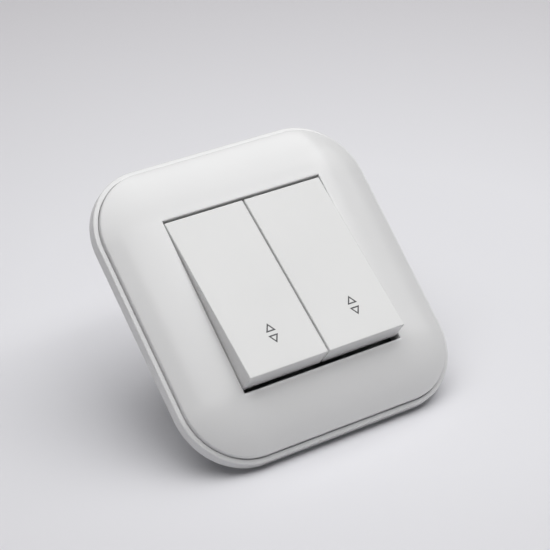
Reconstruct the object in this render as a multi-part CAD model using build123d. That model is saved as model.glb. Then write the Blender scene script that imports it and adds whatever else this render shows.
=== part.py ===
from build123d import *
import math
import os

# Flush double two-way light switch for a 60 mm wall box, in millimetres.
# X runs right, Y runs back into the wall and Z runs up. The origin is the centre of the wall plane,
# so the frame stands in front of it at negative Y and the switch insert lies behind it.

# Outer frame: a rear rim, and a domed bezel that stands on its ledge
frame_side = 82.0
frame_depth = 8.2
corner_centre_inset = 1.0   # from the aperture's side in to the centre of the frame's round corner
rim_width = 5.0
rim_ledge_height = 2.2
rim_wall_height = 2.85      # outer wall of the lip
rim_lip_height = 3.05       # inner wall of the lip
rim_edge_fillet = 0.4
groove_inset = 1.2          # from the rim's outer wall to the inner wall of its lip
groove_gap = 0.3            # between the lip and the bezel
dome_fall = 4.05            # how far the dome drops from the aperture to its outer edge
dome_edge_fillet = 0.5
bezel_wall = 2.0
bezel_foot_width = 1.8
collar_wall = 1.4
collar_depth = 4.3
aperture_edge_fillet = 0.25

# Ratchet legs of the bezel and the tongues of the plate that they grip
leg_inset = 9.5             # from the rim's outer wall to the middle of a leg
leg_place_z = 14.0
leg_thickness = 1.4
leg_width = 5.0
leg_plate_gap = 0.4
tooth_height = 0.7
tooth_reach = 0.35
tooth_count = 2
tongue_gap = 0.15
tongue_thickness = 1.0
tongue_width = 6.0
tongue_lip_height = 0.65

# Steel mounting plate
plate_rim_gap = 0.5
plate_thickness = 1.2
window_clearance = 0.2
box_screw_spacing = 60.0
box_screw_hole_radius = 1.85

# Rocker keys
key_gap = 0.5
key_width = 23.7
key_side_clearance = 0.25   # from a key to the side of the frame's square opening
key_end_clearance = 1.05
key_skirt = 6.0
key_face_wall = 1.8
key_side_wall = 1.4
key_edge_fillet = 0.3
key_tilt = 6.4              # degrees each way from the middle
face_height = 5.4           # from the pivot axis to the face
pivot_depth = 2.9           # from the plane of the aperture back to the pivot axis
key_rib_place = 17.0
key_rib_thickness = 1.0
key_rib_height = 2.4

# Clip legs under each key
clip_thickness = 1.2
clip_width = 5.0
clip_nib = 0.6
clip_nib_height = 1.0
clip_clearance = 0.1

# Tumblers, which carry the keys
tumbler_plate_thickness = 1.1
tumbler_plate_half_width = 8.0
tumbler_plate_half_length = 9.0
hub_radius = 2.6
hub_half_width = 4.5
trunnion_radius = 1.25
trunnion_clearance = 0.05
post_thickness = 2.0
post_radius = 2.2
post_gap = 0.3
web_thickness = 1.2
web_half_length = 7.5
stem_radius = 3.2
stem_length = 8.3           # from the pivot axis back to the rear end of the stem
bore_radius = 2.2
bore_bottom = 2.9           # from the pivot axis to the floor of the bore

# Plunger and coil spring in each stem
plunger_lever_gap = 0.04    # from the plunger's tip to the lever, over its middle
plunger_radius = 1.3
plunger_head_radius = 2.1
plunger_head_length = 1.7
plunger_pin_length = 0.7     # straight part between the head and the round nose
plunger_travel = 0.25
spring_wire_radius = 0.22
spring_mean_radius = 1.7
spring_turns = 4
spring_seat_gap = 0.03
spring_play = 0.05          # left between the spring and the plunger pushed right in

# Contact levers
knife_reach = 13.3          # from the pivot axis back to the axis of the knife edge
knife_radius = 0.5
knife_clearance = 0.08
lever_thickness = 1.2
lever_half_length = 8.6
lever_width = 6.0
lever_tilt = 8.0            # degrees each way
tip_place = 7.0
tip_radius = 1.4
moving_tip_height = 0.9
tip_dome_height = 0.3
fixed_tip_height = 0.9
contact_gap = 0.07
strip_thickness = 0.8
strip_width = 5.8
tail_width = 4.2
tail_reach = 5.0            # how far a strip's tail runs into its cage

# Terminal cages and their screws
common_place_x = 4.0
cage_wall = 0.8
cage_screw_wall = 1.6
cage_opening_width = 4.6
cage_opening_height = 5.4
cage_length = 6.0
tail_clearance = 0.05
slot_clearance = 0.1
pocket_clearance = 0.2
terminal_screw_radius = 1.5
terminal_head_radius = 2.4
terminal_head_height = 1.3
terminal_head_recess = 0.3  # below the housing's top or bottom
screw_hole_clearance = 0.05
slot_width = 0.7
slot_depth = 0.6

# Housing and the cover that carries the rocker bearings
housing_half_width = 19.0
housing_half_height = 18.0
housing_corner_chamfer = 3.0
housing_rear_chamfer = 1.5
housing_rear_wall = 1.0
flange_overhang = 2.0
flange_thickness = 2.2
collar_half_width = 18.4
collar_setback = 2.6        # from the housing's top to the collar's
chamber_half_width = 4.1
chamber_end_space = 0.95    # past the tail slot at each end of a chamber
shaft_drop = 2.0
shaft_divider = 1.4
arm_setback = 0.4           # from the chamber's floor back to the common terminal's arm
floor_wall = 0.7
cover_overhang = 0.5        # past the housing's flange on each side
cover_thickness = 1.0
cover_corner_radius = 2.0
stem_opening_half_width = 4.2
stem_opening_half_height = 4.8
cover_screw_x = 16.0
cover_screw_offset = 2.4    # from the end of a chamber to the screw's axis
cover_screw_radius = 1.1
cover_screw_length = 8.0
cover_head_radius = 1.9
cover_head_height = 0.9

# Claws that brace the insert in the wall box, and their screws
claw_place_x = 26.5
claw_sheet = 1.0
claw_half_width = 2.6       # from the screw's axis to the outside of each arm
claw_half_height = 4.0
claw_front_gap = 0.15
claw_rear = 15.5
claw_lug_thickness = 1.4
claw_outer_front = 4.0
claw_tooth_reach = 0.6
claw_tooth_length = 1.6
claw_tooth_count = 3
claw_spread = 12.0          # degrees
claw_screw_radius = 1.4
claw_screw_end = 20.0
claw_head_radius = 2.3
claw_head_gap = 0.1
claw_neck_radius = 1.6      # ball where the screw passes the plate, about which the claw leans
claw_head_top = 3.2         # in front of the wall plane
claw_slot_clearance = 0.25

# How far a cut runs past the face that it opens through
cut_through = 1.0

# Values that follow from the sizes above
aperture_half = key_gap / 2 + key_width + key_side_clearance
corner_centre = aperture_half - corner_centre_inset
frame_half = frame_side / 2
groove_half = frame_half - groove_inset
bezel_half = groove_half - groove_gap
dome_radius = ((bezel_half - aperture_half) ** 2 + dome_fall ** 2) / (2 * dome_fall)
rim_inner_half = frame_half - rim_width
plate_half = rim_inner_half - plate_rim_gap
leg_place_x = frame_half - leg_inset
pivot_y = pivot_depth - frame_depth
knife_depth = pivot_y + knife_reach
key_centre_x = (key_gap + key_width) / 2
key_half_length = aperture_half - key_end_clearance
key_underside = face_height - key_face_wall
plunger_tip_reach = knife_reach - lever_thickness - plunger_lever_gap
plunger_head_front = plunger_tip_reach - plunger_radius - plunger_pin_length - plunger_head_length
spring_end = plunger_head_front - plunger_travel - spring_play
tip_dome_radius = (tip_radius ** 2 + tip_dome_height ** 2) / (2 * tip_dome_height)
closed_tip_centre = (
    knife_depth
    + (moving_tip_height - tip_dome_radius) * math.cos(math.radians(lever_tilt))
    + tip_place * math.sin(math.radians(lever_tilt))
)
fixed_tip_front = closed_tip_centre + tip_dome_radius + contact_gap
strip_front = fixed_tip_front + fixed_tip_height
chamber_floor = strip_front + strip_thickness
arm_front = chamber_floor + arm_setback
arm_rear = arm_front + strip_thickness
pocket_front = arm_rear + floor_wall
cage_front = pocket_front + pocket_clearance
cage_rear = cage_front + cage_length
cage_middle = (cage_front + cage_rear) / 2
housing_rear = cage_rear + housing_rear_wall
tail_end = cage_front + tail_reach
cage_half_width = cage_opening_width / 2 + cage_wall
cage_top = housing_half_height - terminal_head_recess - terminal_head_height
opening_top = cage_top - cage_screw_wall
opening_bottom = opening_top - cage_opening_height
cage_bottom = opening_bottom - cage_wall
tail_bottom = opening_bottom + tail_clearance
tail_top = tail_bottom + strip_thickness
flange_half_width = housing_half_width + flange_overhang
collar_half_height = housing_half_height - collar_setback
chamber_half_height = tail_top + chamber_end_space
cover_front = -plate_thickness - cover_thickness
cover_half_width = flange_half_width + cover_overhang
cover_screw_z = chamber_half_height + cover_screw_offset
cage_places = [(side * x, up) for side in (-1, 1)
               for x, up in ((key_centre_x, 1), (key_centre_x, -1), (common_place_x, 1))]


def block(x0, x1, y0, y1, z0, z1):
    """A box given by its limits, in any order on each axis."""
    size = (abs(x1 - x0), abs(y1 - y0), abs(z1 - z0))
    return Pos((x0 + x1) / 2, (y0 + y1) / 2, (z0 + z1) / 2) * Box(*size)


def rod_y(radius, x, y0, y1, z):
    """A round rod along Y."""
    return Pos(x, (y0 + y1) / 2, z) * Rot(90, 0, 0) * Cylinder(radius, abs(y1 - y0))


def rod_x(radius, x0, x1, y, z):
    """A round rod along X."""
    return Pos((x0 + x1) / 2, y, z) * Rot(0, 90, 0) * Cylinder(radius, abs(x1 - x0))


def rod_z(radius, x, y, z0, z1):
    """A round rod along Z."""
    return Pos(x, y, (z0 + z1) / 2) * Cylinder(radius, abs(z1 - z0))


def rounded_slab(half_x, half_z, radius, y0, y1):
    """A flat plate across Y with rounded corners."""
    outline = Plane.XZ * RectangleRounded(2 * half_x, 2 * half_z, radius)
    return Pos(0, max(y0, y1), 0) * extrude(outline, abs(y1 - y0))


def bezel_section():
    """Dome, foot, underside and collar wall of the bezel, seen at the right-hand side."""
    centre_y = -frame_depth + dome_radius
    under_radius = dome_radius - bezel_wall

    def dome_point(half, radius):
        return (half, centre_y - math.sqrt(radius ** 2 - (half - aperture_half) ** 2), 0)

    def arc(first, last, radius):
        middle = dome_point((first[0] + last[0]) / 2, radius)
        return ThreePointArc(first, middle, last)

    collar_half = aperture_half + collar_wall
    foot_half = bezel_half - bezel_foot_width
    crown = dome_point(aperture_half, dome_radius)
    edge = dome_point(bezel_half, dome_radius)
    under_foot = dome_point(foot_half, under_radius)
    under_collar = dome_point(collar_half, under_radius)
    collar_end = -frame_depth + collar_depth
    lines = [
        arc(crown, edge, dome_radius),
        Polyline(edge, (bezel_half, -rim_ledge_height, 0), (foot_half, -rim_ledge_height, 0), under_foot),
        arc(under_foot, under_collar, under_radius),
        Polyline(under_collar, (collar_half, collar_end, 0), (aperture_half, collar_end, 0), crown),
    ]
    face = make_face(lines)
    face = fillet(face.vertices().sort_by_distance(edge)[0], dome_edge_fillet)
    return fillet(face.vertices().sort_by_distance(crown)[0], aperture_edge_fillet)


def rim_section():
    """Ledge, lip and outer wall of the rear rim, seen at the right-hand side."""
    shoulder = (frame_half, -rim_wall_height, 0)
    outline = make_face(Polyline((rim_inner_half, 0, 0), (rim_inner_half, -rim_ledge_height, 0),
                                 (groove_half, -rim_ledge_height, 0), (groove_half, -rim_lip_height, 0),
                                 shoulder, (frame_half, 0, 0), close=True))
    return fillet(outline.vertices().sort_by_distance(shoulder)[0], rim_edge_fillet)


def swept_round(section):
    """Four straight sides and four turned corners, all with one section."""
    side = extrude(section, corner_centre, both=True)
    turn = Axis((corner_centre, 0, 0), (0, 1, 0))
    corner = Pos(0, 0, corner_centre) * revolve(section, turn, -90)
    quarter = side + corner
    ring = quarter
    for step in range(1, 4):
        ring += Rot(0, 90 * step, 0) * quarter
    return ring


def ratchet_leg():
    """A leg of the bezel with saw teeth on its outward side."""
    under_y = -frame_depth + dome_radius - math.sqrt(
        (dome_radius - bezel_wall) ** 2 - (leg_place_x - leg_thickness / 2 - aperture_half) ** 2)
    foot = -plate_thickness - leg_plate_gap
    root = under_y - bezel_wall / 2
    inner = leg_place_x - leg_thickness / 2
    outer = leg_place_x + leg_thickness / 2
    points = [(inner, root), (inner, foot), (outer, foot)]
    for step in range(tooth_count):
        top = foot - (step + 1) * tooth_height
        points += [(outer + tooth_reach, top), (outer, top)]
    points.append((outer, root))
    outline = make_face(Polyline(*[(x, y, 0) for x, y in points], close=True))
    return Pos(0, 0, leg_place_z) * extrude(outline, leg_width / 2, both=True)


def front_frame():
    """Domed bezel with a sharp-cornered square aperture and four ratchet legs."""
    ring = swept_round(bezel_section())
    leg = ratchet_leg()
    for side in (leg, mirror(leg, about=Plane.YZ)):
        ring += side
        ring += mirror(side, about=Plane.XY)
    opening = block(-aperture_half, aperture_half, -2 * frame_depth, frame_depth,
                    -aperture_half, aperture_half)
    return ring - opening


def rear_rim():
    """Thin rim against the wall, with a ledge that the bezel's foot stands on."""
    return swept_round(rim_section())


def plate_tongue():
    """A tongue bent forward from the plate, whose lip drops into the teeth of a bezel leg."""
    inner = leg_place_x + leg_thickness / 2 + tooth_reach + tongue_gap
    outer = inner + tongue_thickness
    lip_y = -plate_thickness - leg_plate_gap - tooth_count * tooth_height - tongue_gap
    top = lip_y - tongue_lip_height
    lip_end = inner - tooth_reach
    points = [(inner, -plate_thickness / 2), (outer, -plate_thickness / 2), (outer, top), (inner, top),
              (lip_end, lip_y - tongue_gap), (lip_end, lip_y), (inner, lip_y)]
    outline = make_face(Polyline(*[(x, y, 0) for x, y in points], close=True))
    return Pos(0, 0, leg_place_z) * extrude(outline, tongue_width / 2, both=True)


def mounting_plate():
    """Square steel plate with a window for the insert, box-screw holes, claw slots and four tongues."""
    plate = rounded_slab(plate_half, plate_half, plate_half - corner_centre, -plate_thickness, 0)
    tongue = plate_tongue()
    for side in (tongue, mirror(tongue, about=Plane.YZ)):
        plate += side
        plate += mirror(side, about=Plane.XY)
    window_x = collar_half_width + window_clearance
    window_z = collar_half_height + window_clearance
    plate -= block(-window_x, window_x, -frame_depth, frame_depth, -window_z, window_z)
    slot_radius = claw_screw_radius + claw_slot_clearance
    slot_reach = plate_thickness / 2 * math.tan(math.radians(claw_spread)) + claw_slot_clearance
    for sign in (-1, 1):
        plate -= rod_y(box_screw_hole_radius, 0, -frame_depth, frame_depth, sign * box_screw_spacing / 2)
        for shift in (-slot_reach, slot_reach):
            plate -= rod_y(slot_radius, sign * claw_place_x + shift, -frame_depth, frame_depth, 0)
        plate -= block(sign * claw_place_x - slot_reach, sign * claw_place_x + slot_reach,
                       -frame_depth, frame_depth, -slot_radius, slot_radius)
    return plate


def clip_leg():
    """A leg under the key's face that hooks behind the upper edge of the tumbler's plate."""
    inner = tumbler_plate_half_length + clip_clearance
    outer = inner + clip_thickness
    root = -key_underside - key_face_wall / 2
    nib_front = -key_underside + tumbler_plate_thickness + clip_clearance
    foot = nib_front + clip_nib_height
    points = [(root, inner), (root, outer), (foot, outer), (foot, inner),
              (nib_front, inner - clip_nib), (nib_front, inner)]
    outline = make_face(Polyline(*[(0, y, z) for y, z in points], close=True))
    return extrude(outline, clip_width / 2, both=True)


def rocker_key():
    """Flat-faced key shell with skirts, two cross ribs and two clip legs, its pivot axis at the origin."""
    half_x = key_width / 2
    skirt_end = -face_height + key_skirt
    shell = block(-half_x, half_x, -face_height, skirt_end, -key_half_length, key_half_length)
    outer_edges = shell.edges().filter_by(Axis.Y) + shell.faces().sort_by(Axis.Y)[0].edges()
    shell = fillet(outer_edges, key_edge_fillet)
    inner_x = half_x - key_side_wall
    inner_z = key_half_length - key_side_wall
    shell -= block(-inner_x, inner_x, -key_underside, skirt_end + cut_through, -inner_z, inner_z)
    leg = clip_leg()
    shell += leg
    shell += mirror(leg, about=Plane.XY)
    for sign in (-1, 1):
        middle = sign * key_rib_place
        shell += block(-inner_x, inner_x, -key_underside, -key_underside + key_rib_height,
                       middle - key_rib_thickness / 2, middle + key_rib_thickness / 2)
    return shell


def tumbler():
    """Carrier plate, hub with trunnions and a bored stem, its pivot axis at the origin."""
    plate_rear = -key_underside + tumbler_plate_thickness
    body = block(-tumbler_plate_half_width, tumbler_plate_half_width, -key_underside, plate_rear,
                 -tumbler_plate_half_length, tumbler_plate_half_length)
    body += rod_x(hub_radius, -hub_half_width, hub_half_width, 0, 0)
    pin_end = hub_half_width + post_thickness
    body += rod_x(trunnion_radius, -pin_end, pin_end, 0, 0)
    body += rod_y(stem_radius, 0, 0, stem_length, 0)
    web = make_face(Polyline((0, plate_rear, web_half_length), (0, plate_rear, -web_half_length),
                             (0, 0, -hub_radius), (0, 0, hub_radius), close=True))
    web_place = hub_half_width - web_thickness / 2
    for sign in (-1, 1):
        body += Pos(sign * web_place, 0, 0) * extrude(web, web_thickness / 2, both=True)
    return body - rod_y(bore_radius, 0, bore_bottom, stem_length + cut_through, 0)


def plunger():
    """Round-nosed pin with a guide head that slides in the bore of the stem."""
    head_end = plunger_head_front + plunger_head_length
    round_start = plunger_tip_reach - plunger_radius
    half_turn = plunger_radius * math.sqrt(0.5)
    lines = [
        Polyline((0, plunger_tip_reach), (0, plunger_head_front), (plunger_head_radius, plunger_head_front),
                 (plunger_head_radius, head_end), (plunger_radius, head_end), (plunger_radius, round_start)),
        ThreePointArc((plunger_radius, round_start), (half_turn, round_start + half_turn),
                      (0, plunger_tip_reach)),
    ]
    return revolve(make_face(lines), Axis.Y)


def coil_spring():
    """Compression spring between the floor of the bore and the plunger's head."""
    start = bore_bottom + spring_seat_gap + spring_wire_radius
    height = spring_end - spring_wire_radius - start
    path = Helix(height / spring_turns, height, spring_mean_radius, center=(0, start, 0), direction=(0, 1, 0))
    wire = Plane(origin=path @ 0, z_dir=path % 0) * Circle(spring_wire_radius)
    return sweep(wire, path=path, is_frenet=True)


def on_pivot(solid, side):
    """Places a piece drawn about its pivot axis on a rocker at rest, pressed in at the top."""
    return Pos(side * key_centre_x, pivot_y, 0) * Rot(-key_tilt, 0, 0) * solid


def contact_lever():
    """Brass rocking lever with a groove for the knife edge, its rocking axis at the origin."""
    bar = block(-lever_width / 2, lever_width / 2, -lever_thickness, 0, -lever_half_length, lever_half_length)
    bar = fillet(bar.edges().filter_by(Axis.Y), lever_thickness)
    return bar - rod_x(knife_radius + knife_clearance, -lever_width, lever_width, 0, 0)


def moving_tips():
    """Two domed silver rivets behind the ends of the lever."""
    base = moving_tip_height - tip_dome_height
    shank = rod_y(tip_radius, 0, 0, moving_tip_height, 0)
    ball = Pos(0, moving_tip_height - tip_dome_radius, 0) * Sphere(tip_dome_radius)
    cap = shank & ball
    tip = rod_y(tip_radius, 0, 0, base, 0) + cap
    return [Pos(0, 0, sign * tip_place) * tip for sign in (-1, 1)]


def on_knife(solid, side):
    """Places a piece drawn about the rocking axis on a lever at rest, closed at the bottom."""
    return Pos(side * key_centre_x, knife_depth, 0) * Rot(lever_tilt, 0, 0) * solid


def fixed_tips(side):
    """Two flat silver contacts in front of the upper and lower strips."""
    place = tip_place * math.cos(math.radians(lever_tilt))
    middle = side * key_centre_x
    return [rod_y(tip_radius, middle, fixed_tip_front, strip_front, sign * place) for sign in (-1, 1)]


def contact_strip(side, up):
    """Brass strip from a fixed contact to its cage, bent back through the floor of the chamber."""
    middle = side * key_centre_x
    place = tip_place - tip_radius - knife_clearance
    pad = block(middle - strip_width / 2, middle + strip_width / 2, strip_front, chamber_floor,
                up * place, up * tail_top)
    tail = block(middle - tail_width / 2, middle + tail_width / 2, strip_front, tail_end,
                 up * tail_bottom, up * tail_top)
    return pad + tail


def common_terminal(side):
    """Brass terminal with the knife edge that the lever rocks on, led across to its own cage."""
    middle = side * key_centre_x
    arm = side * common_place_x
    blade_half = strip_width / 2
    blade = block(middle - blade_half, middle + blade_half, knife_depth, arm_rear,
                  -knife_radius, knife_radius)
    blade += rod_x(knife_radius, middle - blade_half, middle + blade_half, knife_depth, 0)
    inner = arm - side * tail_width / 2
    blade += block(inner, middle + side * blade_half, arm_front, arm_rear, -shaft_drop, shaft_drop)
    blade += block(inner, arm + side * tail_width / 2, arm_front, arm_rear, -shaft_drop, tail_top)
    blade += block(inner, arm + side * tail_width / 2, arm_front, tail_end, tail_bottom, tail_top)
    return blade


def terminal_cage(x, up):
    """Folded steel cage, open front to back for the wire, tapped for its screw on the outside."""
    cage = block(x - cage_half_width, x + cage_half_width, cage_front, cage_rear,
                 up * cage_bottom, up * cage_top)
    cage -= block(x - cage_opening_width / 2, x + cage_opening_width / 2, cage_front - cut_through,
                  cage_rear + cut_through, up * opening_bottom, up * opening_top)
    hole = terminal_screw_radius + screw_hole_clearance
    return cage - rod_z(hole, x, cage_middle, up * opening_bottom, up * (cage_top + cut_through))


def terminal_screw(x, up):
    """Slotted clamping screw that stands out of the cage."""
    head_top = cage_top + terminal_head_height
    screw = rod_z(terminal_screw_radius, x, cage_middle, up * (opening_top + tail_clearance), up * cage_top)
    screw += rod_z(terminal_head_radius, x, cage_middle, up * cage_top, up * head_top)
    slot = block(x - slot_width / 2, x + slot_width / 2, cage_middle - terminal_head_radius,
                 cage_middle + terminal_head_radius, up * (head_top - slot_depth),
                 up * (head_top + cut_through))
    return screw - slot


def cover_screw(x, z):
    """Slotted screw that clamps the cover and the plate to the housing."""
    head_front = cover_front - cover_head_height
    screw = rod_y(cover_screw_radius, x, cover_front, cover_front + cover_screw_length, z)
    screw += rod_y(cover_head_radius, x, head_front, cover_front, z)
    slot = block(x - cover_head_radius, x + cover_head_radius, head_front - cut_through,
                 head_front + slot_depth, z - slot_width / 2, z + slot_width / 2)
    return screw - slot


def cover_screw_places():
    """The four corners where cover and housing are screwed together."""
    return [(sx * cover_screw_x, sz * cover_screw_z) for sx in (-1, 1) for sz in (-1, 1)]


def middle_cover():
    """Bearing cover in front of the plate, with openings for the stems and posts for the trunnions."""
    cover = rounded_slab(cover_half_width, housing_half_height, cover_corner_radius,
                         cover_front, -plate_thickness)
    hole = trunnion_radius + trunnion_clearance
    first = hub_half_width + post_gap
    for side in (-1, 1):
        middle = side * key_centre_x
        cover -= block(middle - stem_opening_half_width, middle + stem_opening_half_width,
                       cover_front - cut_through, 0, -stem_opening_half_height, stem_opening_half_height)
        for way in (-1, 1):
            near = middle + way * first
            far = near + way * post_thickness
            post = block(near, far, pivot_y, cover_front + cover_thickness / 2, -post_radius, post_radius)
            post += rod_x(post_radius, near, far, pivot_y, 0)
            cover += post - rod_x(hole, near - way, far + way, pivot_y, 0)
    for x, z in cover_screw_places():
        cover -= rod_y(cover_screw_radius + screw_hole_clearance, x, cover_front - cut_through, 0, z)
    return cover


def housing():
    """Moulded housing behind the plate: chambers open to the front, terminal pockets open to the rear."""
    body = block(-housing_half_width, housing_half_width, 0, housing_rear,
                 -housing_half_height, housing_half_height)
    body = chamfer(body.edges().filter_by(Axis.Y), housing_corner_chamfer)
    body = chamfer(body.faces().sort_by(Axis.Y)[-1].edges(), housing_rear_chamfer)
    flange = block(-flange_half_width, flange_half_width, 0, flange_thickness,
                   -housing_half_height, housing_half_height)
    body += chamfer(flange.edges().filter_by(Axis.Y), housing_corner_chamfer)
    body += block(-collar_half_width, collar_half_width, -plate_thickness, 0,
                  -collar_half_height, collar_half_height)
    front = -plate_thickness - cut_through
    half_strip = strip_width / 2 + slot_clearance
    half_tail = tail_width / 2 + slot_clearance
    for side in (-1, 1):
        middle = side * key_centre_x
        arm = side * common_place_x
        inner = middle - side * chamber_half_width
        body -= block(inner, middle + side * chamber_half_width, front, chamber_floor,
                      -chamber_half_height, chamber_half_height)
        shaft_inner = arm - side * half_tail
        body -= block(shaft_inner, inner - side * shaft_divider, front, arm_rear,
                      -shaft_drop - slot_clearance, tail_top + slot_clearance)
        body -= block(shaft_inner, middle + side * half_strip, knife_depth, arm_rear,
                      -shaft_drop - slot_clearance, shaft_drop + slot_clearance)
        body -= block(shaft_inner, arm + side * half_tail, arm_front - slot_clearance, arm_rear,
                      -shaft_drop - slot_clearance, tail_top + slot_clearance)
        body -= block(shaft_inner, arm + side * half_tail, arm_front, pocket_front + cut_through,
                      tail_bottom - slot_clearance, tail_top + slot_clearance)
        for up in (-1, 1):
            body -= block(middle - half_tail, middle + half_tail, chamber_floor - cut_through,
                          pocket_front + cut_through, up * (tail_bottom - slot_clearance),
                          up * (tail_top + slot_clearance))
    pocket_half = cage_half_width + pocket_clearance
    for x, up in cage_places:
        body -= block(x - pocket_half, x + pocket_half, pocket_front, housing_rear + cut_through,
                      up * (cage_bottom - pocket_clearance), up * (housing_half_height + cut_through))
    for x, z in cover_screw_places():
        hole_end = cover_front + cover_screw_length + pocket_clearance
        body -= rod_y(cover_screw_radius + screw_hole_clearance, x, front, hole_end, z)
    return body


def claw_tooth(z):
    """A pointed tooth on the outer arm of a claw."""
    outer = claw_place_x + claw_half_width
    root = outer - claw_sheet / 2
    points = [(root, claw_outer_front), (outer + claw_tooth_reach, claw_outer_front),
              (outer, claw_outer_front + claw_tooth_length), (root, claw_outer_front + claw_tooth_length)]
    outline = make_face(Polyline(*[(x, y, z) for x, y in points], close=True))
    return extrude(outline, claw_sheet / 2, both=True)


def claw():
    """Right-hand claw: a strip folded to a channel, tapped for its screw, with teeth on the outer arm."""
    inner = claw_place_x - claw_half_width
    outer = claw_place_x + claw_half_width
    strip = block(inner, inner + claw_sheet, claw_front_gap, claw_rear, -claw_half_height, claw_half_height)
    strip += block(inner, outer, claw_rear - claw_lug_thickness, claw_rear,
                   -claw_half_height, claw_half_height)
    strip += block(outer - claw_sheet, outer, claw_outer_front, claw_rear,
                   -claw_half_height, claw_half_height)
    spacing = (2 * claw_half_height - claw_sheet) / (claw_tooth_count - 1)
    for step in range(claw_tooth_count):
        strip += claw_tooth(-claw_half_height + claw_sheet / 2 + step * spacing)
    hole = claw_screw_radius + screw_hole_clearance
    return strip - rod_y(hole, claw_place_x, claw_rear - 2 * claw_lug_thickness, claw_rear + cut_through, 0)


def claw_screw():
    """Right-hand claw screw, its head coned behind so that it can lean with the claw."""
    head_rear = -plate_thickness - claw_head_gap
    cone = claw_head_radius * math.tan(math.radians(claw_spread))
    points = [(0, -claw_head_top), (claw_head_radius, -claw_head_top), (claw_head_radius, head_rear - cone),
              (claw_screw_radius, head_rear - cone * claw_screw_radius / claw_head_radius),
              (claw_screw_radius, claw_screw_end), (0, claw_screw_end)]
    outline = make_face(Polyline(*[(x, y, 0) for x, y in points], close=True))
    screw = Pos(claw_place_x, 0, 0) * revolve(outline, Axis.Y)
    screw += Pos(claw_place_x, -plate_thickness / 2, 0) * Sphere(claw_neck_radius)
    slot = block(claw_place_x - slot_width / 2, claw_place_x + slot_width / 2, -claw_head_top - cut_through,
                 -claw_head_top + slot_depth, -claw_head_radius, claw_head_radius)
    return screw - slot


def save(name, *solids):
    """Writes one node, which may be a group of separate solids."""
    shape = solids[0] if len(solids) == 1 else Compound(children=list(solids))
    export_step(shape, f"parts/{name}.step")


os.makedirs("parts", exist_ok=True)
save("front_frame", front_frame())
save("rear_rim", rear_rim())
save("mounting_plate", mounting_plate())
save("middle_cover", middle_cover())
save("housing", housing())
save("terminal_cages", *[terminal_cage(x, up) for x, up in cage_places])
save("terminal_screws", *[terminal_screw(x, up) for x, up in cage_places])
save("cover_screws", *[cover_screw(x, z) for x, z in cover_screw_places()])
for side_name, side_sign in (("left", -1), ("right", 1)):
    save(f"{side_name}_rocker_key", on_pivot(rocker_key(), side_sign))
    save(f"{side_name}_tumbler", on_pivot(tumbler(), side_sign))
    save(f"{side_name}_coil_spring", on_pivot(coil_spring(), side_sign))
    save(f"{side_name}_plunger", on_pivot(plunger(), side_sign))
    save(f"{side_name}_contact_lever", on_knife(contact_lever(), side_sign))
    save(f"{side_name}_moving_tips", *[on_knife(tip, side_sign) for tip in moving_tips()])
    save(f"{side_name}_fixed_tips", *fixed_tips(side_sign))
    save(f"{side_name}_common_terminal", common_terminal(side_sign))
    save(f"{side_name}_upper_contact", contact_strip(side_sign, 1))
    save(f"{side_name}_lower_contact", contact_strip(side_sign, -1))
for side_name, turned in (("right", False), ("left", True)):
    for piece_name, piece in (("claw", claw()), ("claw_screw", claw_screw())):
        save(f"{side_name}_{piece_name}", mirror(piece, about=Plane.YZ) if turned else piece)
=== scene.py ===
import math

import bmesh
import bpy
from mathutils import Matrix, Vector


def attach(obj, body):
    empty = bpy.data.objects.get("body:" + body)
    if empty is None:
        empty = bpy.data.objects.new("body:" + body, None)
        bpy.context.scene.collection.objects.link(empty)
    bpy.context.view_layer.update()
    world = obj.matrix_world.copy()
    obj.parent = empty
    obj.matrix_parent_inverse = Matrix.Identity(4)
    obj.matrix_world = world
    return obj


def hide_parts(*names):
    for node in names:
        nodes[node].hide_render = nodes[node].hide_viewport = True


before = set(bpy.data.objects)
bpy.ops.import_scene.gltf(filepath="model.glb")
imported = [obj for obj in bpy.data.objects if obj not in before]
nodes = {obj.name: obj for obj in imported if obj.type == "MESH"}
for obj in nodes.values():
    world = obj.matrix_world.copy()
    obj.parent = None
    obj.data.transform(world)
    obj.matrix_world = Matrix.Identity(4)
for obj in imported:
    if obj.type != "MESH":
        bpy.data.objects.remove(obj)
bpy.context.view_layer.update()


# Bezel
# The outer frame's front: a thin dome of glossy white moulded plastic, about 2 mm thick, with a sharp
# square opening for the keys. It is moulded in one piece with four ratchet legs that grip the plate.

MM = 0.001
FRAME_SIDE = 82.0
FRAME_DEPTH = 8.2
CORNER_RADIUS = 17.8
APERTURE_HALF = 24.2
BEZEL_HALF = 39.6
DOME_FALL = 4.05            # how far the dome drops from the opening to its outer edge
DOME_RADIUS = ((BEZEL_HALF - APERTURE_HALF) ** 2 + DOME_FALL ** 2) / (2 * DOME_FALL)
BEZEL_WALL = 2.0
FOOT_WIDTH = 1.8
LEDGE_HEIGHT = 2.2
COLLAR_WALL = 1.4
COLLAR_DEPTH = 4.3
EDGE_FILLET = 0.5
APERTURE_FILLET = 0.25
DOME_STEPS = 28
FILLET_STEPS = 5
CORNER_STEPS = 32
SHARP_FADE = 2.5            # how far out of the opening's corner the dome is eased towards it
COLLAR_SLACK = 0.01         # points this near the collar's lower end still count as the collar's
MERGE_DISTANCE = 0.001      # points closer than this are one point
CREASE_DEGREES = 30.0       # an edge that turns more than this is a real edge
LEG_PLACE = (31.5, 14.0)
LEG_SIZE = (1.4, 5.0)
LEG_END = -1.6


def line_to(bm, vert, x, y):
    """Draws one straight edge of a section and returns its far end."""
    end = bmesh.ops.extrude_vert_indiv(bm, verts=[vert])["verts"][0]
    end.co = Vector((x, y, vert.co.z))
    return end


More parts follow.
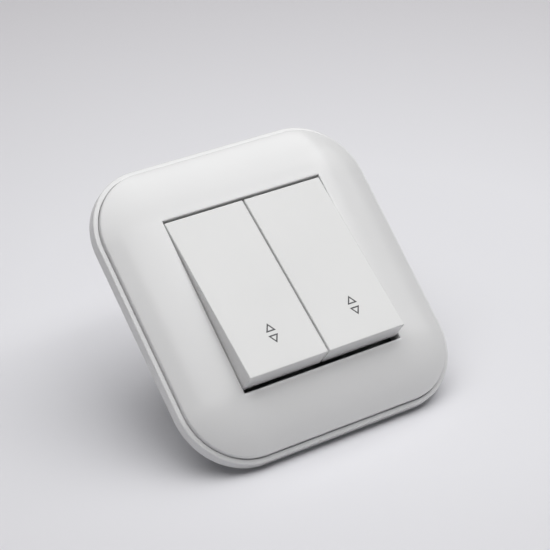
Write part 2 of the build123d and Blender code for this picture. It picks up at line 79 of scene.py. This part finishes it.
def arc_to(bm, vert, centre, degrees, steps):
    """Turns a section's end about a centre, in the plane of the section, and returns its far end."""
    turned = bmesh.ops.spin(bm, geom=[vert], cent=(centre[0], centre[1], vert.co.z), axis=(0, 0, 1),
                            angle=math.radians(degrees), steps=steps)
    return [item for item in turned["geom_last"] if isinstance(item, bmesh.types.BMVert)][0]


def swept_round(bm, straight):
    """Carries the section in bm round the frame: a turned corner, then a straight side, four times."""
    last = bm.verts[:] + bm.edges[:]
    corners = ((straight, straight), (-straight, straight), (-straight, -straight), (straight, -straight))
    for step, (x, z) in enumerate(corners):
        turned = bmesh.ops.spin(bm, geom=last, cent=(x, 0, z), axis=(0, 1, 0), angle=-math.pi / 2,
                                steps=CORNER_STEPS)
        edges = [item for item in turned["geom_last"] if isinstance(item, bmesh.types.BMEdge)]
        drawn = bmesh.ops.extrude_edge_only(bm, edges=edges)["geom"]
        last = [item for item in drawn if not isinstance(item, bmesh.types.BMFace)]
        along = Matrix.Rotation(-math.pi / 2 * (step + 1), 3, "Y") @ Vector((0, 0, 2 * straight))
        ends = [item for item in last if isinstance(item, bmesh.types.BMVert)]
        bmesh.ops.translate(bm, verts=ends, vec=along)
    bmesh.ops.remove_doubles(bm, verts=bm.verts[:], dist=MERGE_DISTANCE)
    bmesh.ops.recalc_face_normals(bm, faces=bm.faces[:])


def finished(bm, name):
    """Makes a mesh object from a bmesh drawn in millimetres, smooth but for its real edges."""
    bmesh.ops.scale(bm, vec=(MM, MM, MM), verts=bm.verts[:])
    mesh = bpy.data.meshes.new(name)
    bm.to_mesh(mesh)
    bm.free()
    for face in mesh.polygons:
        face.use_smooth = True
    mesh.set_sharp_from_angle(angle=math.radians(CREASE_DEGREES))
    piece = bpy.data.objects.new(name, mesh)
    bpy.context.scene.collection.objects.link(piece)
    return piece


def dome_y(half, radius):
    """Depth of a dome of this radius at this distance from the middle of the frame."""
    return DOME_RADIUS - FRAME_DEPTH - math.sqrt(radius ** 2 - (half - APERTURE_HALF) ** 2)


def bezel_mesh():
    """The dome's section swept round the frame, its inner corners drawn out to a sharp square."""
    straight = FRAME_SIDE / 2 - CORNER_RADIUS
    dome_centre = (APERTURE_HALF, DOME_RADIUS - FRAME_DEPTH)
    inner_half = APERTURE_HALF + APERTURE_FILLET
    inner = (inner_half, dome_y(inner_half, DOME_RADIUS - APERTURE_FILLET))
    outer_half = BEZEL_HALF - EDGE_FILLET
    outer = (outer_half, dome_y(outer_half, DOME_RADIUS - EDGE_FILLET))
    inner_angle = math.degrees(math.asin(APERTURE_FILLET / (DOME_RADIUS - APERTURE_FILLET)))
    outer_angle = math.degrees(math.asin((outer_half - APERTURE_HALF) / (DOME_RADIUS - EDGE_FILLET)))
    under = DOME_RADIUS - BEZEL_WALL
    foot = BEZEL_HALF - FOOT_WIDTH
    collar = APERTURE_HALF + COLLAR_WALL
    collar_end = COLLAR_DEPTH - FRAME_DEPTH
    under_angle = [math.degrees(math.asin((half - APERTURE_HALF) / under)) for half in (foot, collar)]
    bm = bmesh.new()
    first = bm.verts.new((APERTURE_HALF, collar_end, straight))
    end = line_to(bm, first, APERTURE_HALF, inner[1])
    end = arc_to(bm, end, inner, 90 + inner_angle, FILLET_STEPS)
    end = arc_to(bm, end, dome_centre, outer_angle - inner_angle, DOME_STEPS)
    end = arc_to(bm, end, outer, 90 - outer_angle, FILLET_STEPS)
    end = line_to(bm, end, BEZEL_HALF, -LEDGE_HEIGHT)
    end = line_to(bm, end, foot, -LEDGE_HEIGHT)
    end = line_to(bm, end, foot, dome_y(foot, under))
    end = arc_to(bm, end, dome_centre, under_angle[1] - under_angle[0], DOME_STEPS)
    end = line_to(bm, end, collar, collar_end)
    bm.edges.new((end, first))
    swept_round(bm, straight)
    reach = APERTURE_HALF - straight
    for vert in bm.verts:
        out = Vector((abs(vert.co.x) - straight, abs(vert.co.z) - straight))
        if min(out) > 0 and vert.co.y < collar_end + COLLAR_SLACK:
            stretch = reach * (out.length / max(out) - 1)
            ease = max(0.0, 1 - (out.length - reach) / SHARP_FADE)
            out *= 1 + stretch * ease / out.length
            vert.co.x = math.copysign(straight + out.x, vert.co.x)
            vert.co.z = math.copysign(straight + out.y, vert.co.z)
    for side in (-1, 1):
        for up in (-1, 1):
            leg = bmesh.ops.create_cube(bm, size=1.0)["verts"]
            top = dome_y(LEG_PLACE[0], under) - BEZEL_WALL / 2
            bmesh.ops.scale(bm, vec=(LEG_SIZE[0], LEG_END - top, LEG_SIZE[1]), verts=leg)
            middle = (side * LEG_PLACE[0], (LEG_END + top) / 2, up * LEG_PLACE[1])
            bmesh.ops.translate(bm, vec=middle, verts=leg)
    return finished(bm, "bezel")


def nodes_of(material):
    """Switches a new material to nodes and returns its tree with its Principled shader."""
    material.use_nodes = True
    tree = material.node_tree
    return tree, tree.nodes["Principled BSDF"]


def moulded_group():
    """Colour drift, roughness drift and fine moulding texture, used by all of the plastics."""
    group = bpy.data.node_groups.new("moulded_surface", "ShaderNodeTree")
    make = group.interface.new_socket
    for name, kind, default in (("Colour", "NodeSocketColor", (0.8, 0.8, 0.8, 1)),
                                ("Shade", "NodeSocketColor", (0.7, 0.7, 0.7, 1)),
                                ("Roughness", "NodeSocketFloat", 0.3),
                                ("Drift", "NodeSocketFloat", 0.05),
                                ("Grain Scale", "NodeSocketFloat", 4000.0),
                                ("Grain Depth", "NodeSocketFloat", 0.05)):
        socket = make(name=name, in_out="INPUT", socket_type=kind)
        socket.default_value = default
    make(name="Colour", in_out="OUTPUT", socket_type="NodeSocketColor")
    make(name="Roughness", in_out="OUTPUT", socket_type="NodeSocketFloat")
    make(name="Height", in_out="OUTPUT", socket_type="NodeSocketFloat")
    new, link = group.nodes.new, group.links.new
    given, out = new("NodeGroupInput"), new("NodeGroupOutput")
    place = new("ShaderNodeTexCoord")
    cloud, grain = new("ShaderNodeTexNoise"), new("ShaderNodeTexNoise")
    cloud.inputs["Scale"].default_value = 45.0
    cloud.inputs["Detail"].default_value = 3.0
    grain.inputs["Detail"].default_value = 2.0
    link(place.outputs["Object"], cloud.inputs["Vector"])
    link(place.outputs["Object"], grain.inputs["Vector"])
    link(given.outputs["Grain Scale"], grain.inputs["Scale"])
    mix = new("ShaderNodeMix")
    mix.data_type = "RGBA"
    soft = new("ShaderNodeMapRange")
    soft.inputs["From Min"].default_value = 0.35
    soft.inputs["From Max"].default_value = 0.75
    link(cloud.outputs["Fac"], soft.inputs["Value"])
    link(soft.outputs["Result"], mix.inputs["Factor"])
    link(given.outputs["Colour"], mix.inputs["A"])
    link(given.outputs["Shade"], mix.inputs["B"])
    link(mix.outputs["Result"], out.inputs["Colour"])
    swing, rough = new("ShaderNodeMath"), new("ShaderNodeMath")
    swing.operation, rough.operation = "MULTIPLY", "ADD"
    link(soft.outputs["Result"], swing.inputs[0])
    link(given.outputs["Drift"], swing.inputs[1])
    link(given.outputs["Roughness"], rough.inputs[0])
    link(swing.outputs["Value"], rough.inputs[1])
    link(rough.outputs["Value"], out.inputs["Roughness"])
    height = new("ShaderNodeMath")
    height.operation = "MULTIPLY"
    link(grain.outputs["Fac"], height.inputs[0])
    link(given.outputs["Grain Depth"], height.inputs[1])
    link(height.outputs["Value"], out.inputs["Height"])
    return group


MOULDED = moulded_group()
GRAIN_STRENGTH = 0.25
GRAIN_HEIGHT = 0.02
PLASTIC_IOR = 1.5


def plastic(name, colour, shade, roughness, drift=0.03, grain_scale=4000.0, grain_depth=0.3):
    """A moulded plastic, from its colour, its slight second shade and how glossy the tool left it."""
    material = bpy.data.materials.new(name)
    tree, shader = nodes_of(material)
    surface = tree.nodes.new("ShaderNodeGroup")
    surface.node_tree = MOULDED
    surface.inputs["Colour"].default_value = (*colour, 1)
    surface.inputs["Shade"].default_value = (*shade, 1)
    surface.inputs["Roughness"].default_value = roughness
    surface.inputs["Drift"].default_value = drift
    surface.inputs["Grain Scale"].default_value = grain_scale
    surface.inputs["Grain Depth"].default_value = grain_depth
    bump = tree.nodes.new("ShaderNodeBump")
    bump.inputs["Strength"].default_value = GRAIN_STRENGTH
    bump.inputs["Distance"].default_value = GRAIN_HEIGHT * MM
    tree.links.new(surface.outputs["Colour"], shader.inputs["Base Color"])
    tree.links.new(surface.outputs["Roughness"], shader.inputs["Roughness"])
    tree.links.new(surface.outputs["Height"], bump.inputs["Height"])
    tree.links.new(bump.outputs["Normal"], shader.inputs["Normal"])
    shader.inputs["IOR"].default_value = PLASTIC_IOR
    return material


def dress(piece, material):
    """Gives a piece or a carried-over node this one material."""
    piece.data.materials.clear()
    piece.data.materials.append(material)


GLOSS_WHITE = plastic("gloss_white", (0.79, 0.79, 0.79), (0.775, 0.775, 0.775), 0.19, grain_depth=0.05)
bezel = bezel_mesh()
dress(bezel, GLOSS_WHITE)
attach(bezel, "root")
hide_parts("front_frame")


# Rim
# The thin ring against the wall, of the same glossy white plastic, moulded in one piece. Its lip stands up
# round the bezel behind a fine groove, and shows as a bright land with a plain side wall behind it.

GROOVE_HALF = 39.8
RIM_INNER_HALF = 36.0
LIP_HEIGHT = 3.05
WALL_HEIGHT = 2.85
RIM_FILLET = 0.4


def rim_mesh():
    """Inner wall, ledge, lip with its rounded edge, and outer wall of the rim, swept round the frame."""
    half = FRAME_SIDE / 2
    slope = math.atan2(LIP_HEIGHT - WALL_HEIGHT, half - GROOVE_HALF)
    setback = RIM_FILLET * math.tan((math.pi / 2 - slope) / 2)
    start = (half - setback * math.cos(slope), -WALL_HEIGHT - setback * math.sin(slope))
    centre = (half - RIM_FILLET, start[1] + RIM_FILLET * math.cos(slope))
    bm = bmesh.new()
    first = bm.verts.new((RIM_INNER_HALF, 0, half - CORNER_RADIUS))
    end = line_to(bm, first, RIM_INNER_HALF, -LEDGE_HEIGHT)
    end = line_to(bm, end, GROOVE_HALF, -LEDGE_HEIGHT)
    end = line_to(bm, end, GROOVE_HALF, -LIP_HEIGHT)
    end = line_to(bm, end, *start)
    end = arc_to(bm, end, centre, 90 - math.degrees(slope), FILLET_STEPS)
    end = line_to(bm, end, half, 0)
    bm.edges.new((end, first))
    swept_round(bm, half - CORNER_RADIUS)
    return finished(bm, "rim")


rim = rim_mesh()
dress(rim, GLOSS_WHITE)
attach(rim, "root")
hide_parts("rear_rim")


# Rocker keys
# Two flat keys of white plastic with a satin face. Each is a moulded shell clipped onto its tumbler,
# and its edges are left nearly sharp by the tool.

SATIN_WHITE = plastic("satin_white", (0.79, 0.79, 0.785), (0.775, 0.775, 0.77), 0.38, grain_depth=0.6)
for side in ("left", "right"):
    dress(nodes[side + "_rocker_key"], SATIN_WHITE)


# Signs on the keys
# The plain sign of a two-way switch, printed near the lower end of each key in thin dark grey lines: a
# triangle that points up above one that points down.

SIGN_CENTRES = (("left", -12.1), ("right", 13.15))    # the right one is printed off the key's middle
KEY_TILT = 6.4
PIVOT_Y = -5.3              # the trunnions' axis, in front of the wall
FACE_HEIGHT = 5.4           # from the trunnions' axis out to the key's face
SIGN_HALF_WIDTH = 1.45
SIGN_HEIGHT = 2.35
SIGN_MIDDLE = -13.68        # along the face from the pivot, between the two triangles
SIGN_GAP = 1.0
SIGN_LINE = 0.36
INK_HEIGHT = 0.012
INK_SINK = 0.004            # how far the film reaches into the key, so that it holds on it


def sign_mesh(name, centre):
    """Two outlined triangles, a thin film of ink on the tilted face of one key."""
    bm = bmesh.new()
    for up in (-1, 1):
        base = SIGN_MIDDLE + up * SIGN_GAP / 2
        corners = ((-SIGN_HALF_WIDTH, base), (SIGN_HALF_WIDTH, base), (0, base + up * SIGN_HEIGHT))
        verts = [bm.verts.new((x, -FACE_HEIGHT + INK_SINK, z)) for x, z in corners]
        face = bm.faces.new(verts)
        face.normal_update()
        bmesh.ops.inset_region(bm, faces=[face], thickness=SIGN_LINE, use_boundary=True, use_even_offset=True)
        bmesh.ops.delete(bm, geom=[face], context="FACES_ONLY")
    thick = bmesh.ops.extrude_face_region(bm, geom=bm.faces[:])["geom"]
    raised = [item for item in thick if isinstance(item, bmesh.types.BMVert)]
    bmesh.ops.translate(bm, vec=(0, -INK_HEIGHT - INK_SINK, 0), verts=raised)
    bmesh.ops.recalc_face_normals(bm, faces=bm.faces[:])
    place = Matrix.Translation((centre, PIVOT_Y, 0)) @ Matrix.Rotation(math.radians(-KEY_TILT), 4, "X")
    bmesh.ops.transform(bm, matrix=place, verts=bm.verts[:])
    return finished(bm, name)


INK = plastic("sign_ink", (0.045, 0.045, 0.05), (0.06, 0.06, 0.065), 0.45, grain_depth=0.2)
for side, centre in SIGN_CENTRES:
    sign = sign_mesh(side + "_sign", centre)
    dress(sign, INK)
    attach(sign, side + "_rocker")


# Inner plastics
# The bearing cover and the tumblers are pale grey, the plungers natural acetal, and the housing a
# heat-resistant moulding with a dull face.

PALE_GREY = plastic("pale_grey_plastic", (0.5, 0.51, 0.51), (0.47, 0.48, 0.48), 0.45, grain_depth=0.6)
HOUSING = plastic("housing_moulding", (0.62, 0.62, 0.6), (0.58, 0.58, 0.56), 0.5, grain_depth=0.8)
ACETAL = plastic("plunger_acetal", (0.78, 0.76, 0.68), (0.74, 0.72, 0.64), 0.35)
for name in ("middle_cover", "left_tumbler", "right_tumbler"):
    dress(nodes[name], PALE_GREY)
for name in ("left_plunger", "right_plunger"):
    dress(nodes[name], ACETAL)
dress(nodes["housing"], HOUSING)


# Metals
# The plate, claws and cages are pressed from zinc-plated steel strip, the screws are turned, the springs
# are drawn wire, and the contact parts are stamped brass with silver rivets.

def metal(name, colour, shade, roughness, scale=900.0):
    """A plated or rolled metal with faint streaks and a little wear."""
    material = plastic(name, colour, shade, roughness, drift=0.12, grain_scale=scale, grain_depth=0.8)
    material.node_tree.nodes["Principled BSDF"].inputs["Metallic"].default_value = 1.0
    return material


ZINC = metal("zinc_plated_steel", (0.62, 0.63, 0.65), (0.5, 0.51, 0.53), 0.3)
NICKEL = metal("nickel_plated_steel", (0.66, 0.65, 0.63), (0.56, 0.55, 0.53), 0.25)
WIRE = metal("spring_wire", (0.5, 0.5, 0.52), (0.4, 0.4, 0.42), 0.25)
BRASS = metal("stamped_brass", (0.75, 0.55, 0.24), (0.66, 0.47, 0.2), 0.28)
SILVER = metal("contact_silver", (0.85, 0.84, 0.82), (0.75, 0.74, 0.72), 0.22)
for name in ("mounting_plate", "left_claw", "right_claw", "terminal_screws", "cover_screws",
             "left_claw_screw", "right_claw_screw"):
    dress(nodes[name], ZINC)
dress(nodes["terminal_cages"], NICKEL)
for side in ("left", "right"):
    dress(nodes[side + "_coil_spring"], WIRE)
    for part in ("contact_lever", "common_terminal", "upper_contact", "lower_contact"):
        dress(nodes[f"{side}_{part}"], BRASS)
    for part in ("moving_tips", "fixed_tips"):
        dress(nodes[f"{side}_{part}"], SILVER)


# Floor
# A sheet of plain pale paper under the leaning switch, just below the lower edge of its rim. Its colour holds
# painted light:
# a painted pool of light, palest near the switch, and painted shade that darkens away from it. It casts no
# shadow and is clear from below, so that it never hides the back of the switch.

FLOOR_NORMAL = Vector((0, -0.747, 0.665)).normalized()
FLOOR_POINT = Vector((0, 0.5, -41.45)) * MM
FLOOR_SIZE = 6000.0 * MM
# Painted light: the centre of a painted pool of light on the paper; the paper's colour near it is its own
# pale colour with painted light, and far from it painted shade.
PAINTED_LIGHT_CENTRE = Vector((43.0, 38.0, 2.0)) * MM    # middle of the brightest part
PAINTED_LIGHT_COLOUR = (0.765, 0.763, 0.79)
PAINTED_LIGHT_REACH = 90.0 * MM
PAINTED_SHADE_COLOUR = (0.56, 0.545, 0.565)
PAINTED_SHADE_REACH = 330.0 * MM

bm = bmesh.new()
bmesh.ops.create_grid(bm, x_segments=1, y_segments=1, size=FLOOR_SIZE / 2)
turn = FLOOR_NORMAL.to_track_quat("Z", "X").to_matrix().to_4x4()
bmesh.ops.transform(bm, matrix=Matrix.Translation(FLOOR_POINT) @ turn, verts=bm.verts[:])
mesh = bpy.data.meshes.new("floor")
bm.to_mesh(mesh)
bm.free()
floor = bpy.data.objects.new("floor", mesh)
bpy.context.scene.collection.objects.link(floor)
material = bpy.data.materials.new("floor_paper_painted_light")
tree, shader = nodes_of(material)
shader.inputs["Roughness"].default_value = 0.9
shader.inputs["Specular IOR Level"].default_value = 0.2
coordinates = tree.nodes.new("ShaderNodeTexCoord")
reach = tree.nodes.new("ShaderNodeVectorMath")
reach.operation = "DISTANCE"
reach.inputs[1].default_value = PAINTED_LIGHT_CENTRE
# Painted light and shade: the paper's colour fades from the painted light colour to the painted shade colour
# with distance from that centre.
painted_light_falloff = tree.nodes.new("ShaderNodeMapRange")
painted_light_falloff.inputs["From Min"].default_value = PAINTED_LIGHT_REACH
painted_light_falloff.inputs["From Max"].default_value = PAINTED_SHADE_REACH
# This mix paints the pool of light and the shade around it into the paper's colour.
paper = tree.nodes.new("ShaderNodeMix")
paper.data_type = "RGBA"
paper.inputs["A"].default_value = (*PAINTED_LIGHT_COLOUR, 1)
paper.inputs["B"].default_value = (*PAINTED_SHADE_COLOUR, 1)
tree.links.new(coordinates.outputs["Object"], reach.inputs[0])
tree.links.new(reach.outputs["Value"], painted_light_falloff.inputs["Value"])
tree.links.new(painted_light_falloff.outputs["Result"], paper.inputs["Factor"])
tree.links.new(paper.outputs["Result"], shader.inputs["Base Color"])
clear = tree.nodes.new("ShaderNodeBsdfTransparent")
geometry = tree.nodes.new("ShaderNodeNewGeometry")
path = tree.nodes.new("ShaderNodeLightPath")
either = tree.nodes.new("ShaderNodeMath")
either.operation = "MAXIMUM"
blend = tree.nodes.new("ShaderNodeMixShader")
tree.links.new(geometry.outputs["Backfacing"], either.inputs[0])
tree.links.new(path.outputs["Is Shadow Ray"], either.inputs[1])
tree.links.new(either.outputs["Value"], blend.inputs["Fac"])
tree.links.new(shader.outputs["BSDF"], blend.inputs[1])
tree.links.new(clear.outputs["BSDF"], blend.inputs[2])
tree.links.new(blend.outputs["Shader"], tree.nodes["Material Output"].inputs["Surface"])
dress(floor, material)


# Lights
# A large soft light hangs above and in front, with a narrow strip in front and a smaller light on the
# right. A weak one stands behind, for the back of the switch, and the room itself is dim.

ROOM_COLOUR = (0.9, 0.9, 0.93)
ROOM_STRENGTH = 0.04

world = bpy.data.worlds.new("room")
bpy.context.scene.world = world
world.use_nodes = True
world.node_tree.nodes["Background"].inputs["Color"].default_value = (*ROOM_COLOUR, 1)
world.node_tree.nodes["Background"].inputs["Strength"].default_value = ROOM_STRENGTH


def soft_light(name, direction, distance, size, watts):
    """A rectangular soft light that faces the switch from this direction, placed and sized in metres."""
    lamp = bpy.data.lights.new(name, "AREA")
    lamp.shape = "RECTANGLE"
    lamp.size, lamp.size_y = size
    lamp.energy = watts
    light = bpy.data.objects.new(name, lamp)
    towards = Vector(direction).normalized()
    light.location = towards * distance
    light.rotation_mode = "QUATERNION"
    light.rotation_quaternion = towards.to_track_quat("Z", "Y")
    bpy.context.scene.collection.objects.link(light)


soft_light("overhead_light", (0.05, -0.70, 0.71), 1.0, (2.0, 1.1), 14.2)
soft_light("front_strip", (0.208, -0.94, 0.271), 0.95, (0.92, 0.19), 1.5)
soft_light("right_light", (0.78, -0.52, 0.35), 0.95, (0.55, 0.5), 0.7)
soft_light("rear_light", (0.05, 1.0, 0.05), 1.2, (0.9, 0.9), 1.5)


# Camera
# It stands in front of the switch, to the left and below the middle, with a long lens, and is rolled so
# that the switch leans as it does in the photo.

CAMERA_PLACE = Vector((-287.66, -468.58, -123.1)) * MM
CAMERA_AHEAD = Vector((0.514495, 0.827499, 0.224813))
CAMERA_UP = Vector((0.267073, -0.403772, 0.875009))
CAMERA_LENS = 144.0

camera_data = bpy.data.cameras.new("camera")
camera_data.lens = CAMERA_LENS
camera_data.sensor_width = 36.0
camera_data.clip_start = 0.01
camera = bpy.data.objects.new("camera", camera_data)
bpy.context.scene.collection.objects.link(camera)
back = -CAMERA_AHEAD.normalized()
across = CAMERA_UP.cross(back).normalized()
upright = back.cross(across)
axes = Matrix((across, upright, back)).transposed()
camera.matrix_world = Matrix.Translation(CAMERA_PLACE) @ axes.to_4x4()
bpy.context.scene.camera = camera
bpy.context.scene.view_settings.view_transform = "Standard"
